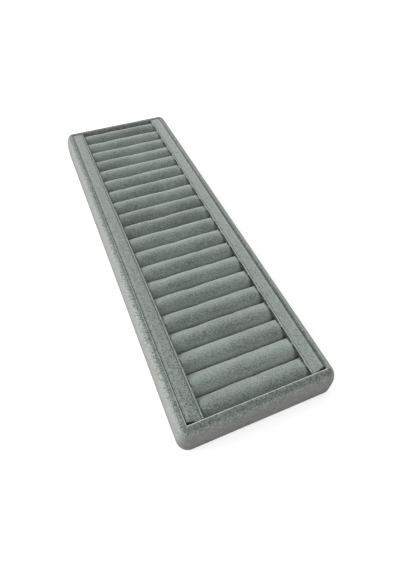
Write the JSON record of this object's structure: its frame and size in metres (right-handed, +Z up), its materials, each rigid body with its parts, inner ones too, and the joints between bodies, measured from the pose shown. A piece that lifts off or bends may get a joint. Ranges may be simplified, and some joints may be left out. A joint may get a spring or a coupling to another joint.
{
  "type": "roll display tray",
  "caption": "Long low velvet-covered display tray with a lift-out insert of padded cross rolls between two flat side bars.",
  "frame": {"origin": "centre of the underside, on the surface that the tray stands on", "axes": "+Z up, +Y along the tray from the near end to the far end, +X across the tray along the rolls"},
  "size_m": [0.115, 0.356, 0.025],
  "materials": {
    "tray_velvet": "matt grey-green velvet with a visible nap",
    "roll_velvet": "matt grey-green velvet",
    "bar_velvet": "matt grey-green velvet, nap laid flat",
    "lip_velvet": "matt grey-green velvet",
    "underside_paper": "matt dark grey embossed paper",
    "lining_paper": "matt dark grey paper",
    "fibre_board": "raw fibre board",
    "rail_wood": "raw softwood",
    "insert_card": "matt grey card",
    "bar_board": "matt grey board",
    "roll_foam": "open-cell foam"
  },
  "bodies": {
    "tray": {"underside_cover": "underside_paper", "base_board": "fibre_board", "front_rail": "rail_wood", "back_rail": "rail_wood", "left_rail": "rail_wood", "right_rail": "rail_wood", "rim_velvet": "tray_velvet", "floor_lining": "lining_paper"},
    "insert": {"insert_card": "insert_card", "left_lip": "lip_velvet", "right_lip": "lip_velvet", "left_bar_board": "bar_board", "right_bar_board": "bar_board", "left_bar_velvet": "bar_velvet", "right_bar_velvet": "bar_velvet", "roll_foam_01": "roll_foam", "roll_foam_02": "roll_foam", "roll_foam_03": "roll_foam", "roll_foam_04": "roll_foam", "roll_foam_05": "roll_foam", "roll_foam_06": "roll_foam", "roll_foam_07": "roll_foam", "roll_foam_08": "roll_foam", "roll_foam_09": "roll_foam", "roll_foam_10": "roll_foam", "roll_foam_11": "roll_foam", "roll_foam_12": "roll_foam", "roll_foam_13": "roll_foam", "roll_foam_14": "roll_foam", "roll_foam_15": "roll_foam", "roll_foam_16": "roll_foam", "roll_foam_17": "roll_foam", "roll_foam_18": "roll_foam", "roll_foam_19": "roll_foam", "roll_foam_20": "roll_foam", "roll_velvet_01": "roll_velvet", "roll_velvet_02": "roll_velvet", "roll_velvet_03": "roll_velvet", "roll_velvet_04": "roll_velvet", "roll_velvet_05": "roll_velvet", "roll_velvet_06": "roll_velvet", "roll_velvet_07": "roll_velvet", "roll_velvet_08": "roll_velvet", "roll_velvet_09": "roll_velvet", "roll_velvet_10": "roll_velvet", "roll_velvet_11": "roll_velvet", "roll_velvet_12": "roll_velvet", "roll_velvet_13": "roll_velvet", "roll_velvet_14": "roll_velvet", "roll_velvet_15": "roll_velvet", "roll_velvet_16": "roll_velvet", "roll_velvet_17": "roll_velvet", "roll_velvet_18": "roll_velvet", "roll_velvet_19": "roll_velvet", "roll_velvet_20": "roll_velvet"}
  },
  "joints": [
    {"name": "insert_lift", "type": "slide", "parent": "tray", "child": "insert", "axis": [0, 0, 1], "range_m": [0, 0.04]}
  ]
}
